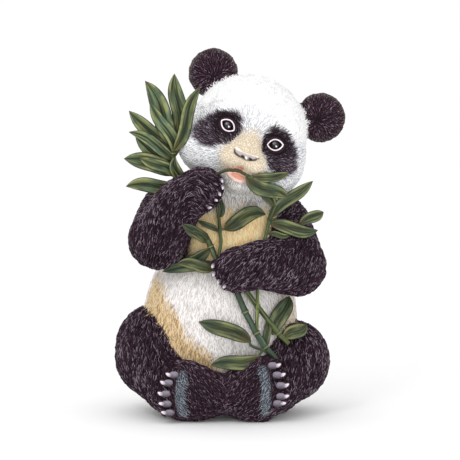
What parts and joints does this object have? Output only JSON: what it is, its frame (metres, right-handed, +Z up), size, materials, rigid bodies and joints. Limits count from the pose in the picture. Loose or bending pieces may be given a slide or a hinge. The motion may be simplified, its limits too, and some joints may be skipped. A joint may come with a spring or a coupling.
{
  "type": "panda figurine",
  "caption": "Seated panda figurine in painted cast resin, eating bamboo held in both front paws; flat underside.",
  "frame": {"origin": "on the flat underside, below the middle of the seated body", "axes": "+Z up from the underside to the ears, the face looks along -Y, +X to the viewer's right"},
  "size_m": [0.2375, 0.1916, 0.3796],
  "materials": {
    "painted_resin": "matte hand-painted resin: black and ivory fur with dry-brushed strokes",
    "painted_leaf": "satin hand-painted leaf green, shaded dark at the folds"
  },
  "bodies": {
    "root": {"panda_figurine": "painted_resin", "bamboo_top_spray": "painted_leaf", "bamboo_mouth_sprig": "painted_leaf", "bamboo_chest_sprig": "painted_leaf", "bamboo_lower_canes": "painted_leaf"}
  },
  "joints": []
}
